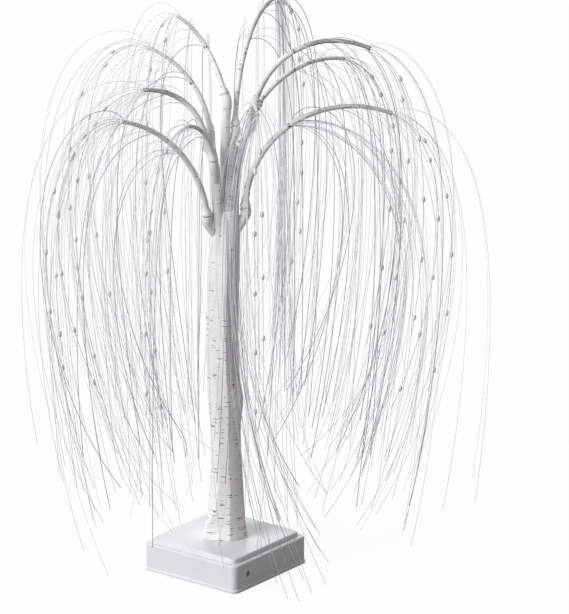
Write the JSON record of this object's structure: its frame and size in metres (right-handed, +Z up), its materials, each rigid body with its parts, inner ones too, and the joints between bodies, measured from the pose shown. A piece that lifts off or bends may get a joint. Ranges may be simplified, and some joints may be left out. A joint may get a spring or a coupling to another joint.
{
  "type": "light-up willow tree",
  "caption": "Battery-lit white willow tree for a table: square base, birch-bark trunk, bendable arching limbs with drooping strands and bead lights.",
  "frame": {"origin": "centre of the square base, on the table under its rubber feet", "axes": "+Z up along the trunk; +X out of the side wall that has the round receiver window; -Y out of the wall that meets it at the front corner"},
  "size_m": [0.452, 0.4333, 0.577],
  "materials": {
    "white_shell": "satin",
    "bark_wrap": "matt, printed with dark birch marks",
    "strand": "satin",
    "light_bead": "clear",
    "steel": "plated",
    "rubber": "matt",
    "cell_jacket": "gloss",
    "board": "solder mask",
    "dark_plastic": "matt",
    "window": "smoked",
    "lead": "flexible sleeve"
  },
  "bodies": {
    "base": {"base_cover": "white_shell", "base_plate": "white_shell", "rubber_feet": "rubber", "cover_screws": "steel", "battery_cells": "cell_jacket", "contact_springs": "steel", "contact_plates": "steel", "circuit_board": "board", "board_parts": "dark_plastic", "ir_receiver": "dark_plastic", "receiver_window": "window", "switch_body": "dark_plastic", "trunk_post": "steel", "post_nut": "steel", "lead_wires": "lead", "trunk_bark": "bark_wrap", "stem_left": "bark_wrap", "stem_centre": "bark_wrap", "stem_right": "bark_wrap"},
    "battery_door": {"battery_door": "white_shell"},
    "switch_slider": {"switch_slider": "dark_plastic"},
    "limb_1": {"limb_1_bark": "bark_wrap", "limb_1_strands": "strand", "limb_1_lights": "light_bead"},
    "limb_2": {"limb_2_bark": "bark_wrap", "limb_2_strands": "strand", "limb_2_lights": "light_bead"},
    "limb_3": {"limb_3_bark": "bark_wrap", "limb_3_strands": "strand", "limb_3_lights": "light_bead"},
    "limb_4": {"limb_4_bark": "bark_wrap", "limb_4_strands": "strand", "limb_4_lights": "light_bead"},
    "limb_5": {"limb_5_bark": "bark_wrap", "limb_5_strands": "strand", "limb_5_lights": "light_bead"},
    "limb_6": {"limb_6_bark": "bark_wrap", "limb_6_strands": "strand", "limb_6_lights": "light_bead"},
    "limb_7": {"limb_7_bark": "bark_wrap", "limb_7_strands": "strand", "limb_7_lights": "light_bead"},
    "limb_8": {"limb_8_bark": "bark_wrap", "limb_8_strands": "strand", "limb_8_lights": "light_bead"},
    "limb_9": {"limb_9_bark": "bark_wrap", "limb_9_strands": "strand", "limb_9_lights": "light_bead"},
    "limb_10": {"limb_10_bark": "bark_wrap", "limb_10_strands": "strand", "limb_10_lights": "light_bead"}
  },
  "joints": [
    {"name": "battery_door_hinge", "type": "hinge", "parent": "base", "child": "battery_door", "pos_m": [0, 0.0039, 0.0032], "axis": [-1, 0, 0], "range_deg": [0, 80]},
    {"name": "power_switch", "type": "slide", "parent": "base", "child": "switch_slider", "axis": [1, 0, 0], "range_m": [0, 0.004]},
    {"name": "limb_1_bend", "type": "hinge", "parent": "base", "child": "limb_1", "pos_m": [0.027, 0.0145, 0.492], "axis": [0.1045, -0.9945, 0], "range_deg": [-3, 10]},
    {"name": "limb_2_bend", "type": "hinge", "parent": "base", "child": "limb_2", "pos_m": [0.0166, 0.0129, 0.384], "axis": [0.6157, -0.788, 0], "range_deg": [-3, 10]},
    {"name": "limb_3_bend", "type": "hinge", "parent": "base", "child": "limb_3", "pos_m": [0.023, 0.024, 0.488], "axis": [0.9613, -0.2756, 0], "range_deg": [-3, 10]},
    {"name": "limb_4_bend", "type": "hinge", "parent": "base", "child": "limb_4", "pos_m": [0.0018, 0.0158, 0.466], "axis": [0.9511, 0.309, 0], "range_deg": [-3, 10]},
    {"name": "limb_5_bend", "type": "hinge", "parent": "base", "child": "limb_5", "pos_m": [-0.004, 0.007, 0.498], "axis": [0.4067, 0.9135, 0], "range_deg": [-3, 10]},
    {"name": "limb_6_bend", "type": "hinge", "parent": "base", "child": "limb_6", "pos_m": [-0.0155, -0.0033, 0.462], "axis": [-0.1736, 0.9848, 0], "range_deg": [-3, 10]},
    {"name": "limb_7_bend", "type": "hinge", "parent": "base", "child": "limb_7", "pos_m": [-0.013, -0.0152, 0.458], "axis": [-0.6428, 0.766, 0], "range_deg": [-3, 10]},
    {"name": "limb_8_bend", "type": "hinge", "parent": "base", "child": "limb_8", "pos_m": [-0.0075, -0.0184, 0.378], "axis": [-0.9272, 0.3746, 0], "range_deg": [-3, 10]},
    {"name": "limb_9_bend", "type": "hinge", "parent": "base", "child": "limb_9", "pos_m": [0.0008, -0.0182, 0.437], "axis": [-0.9903, -0.1392, 0], "range_deg": [-3, 10]},
    {"name": "limb_10_bend", "type": "hinge", "parent": "base", "child": "limb_10", "pos_m": [0.029, 0.006, 0.476], "axis": [-0.7193, -0.6947, 0], "range_deg": [-3, 10]}
  ]
}
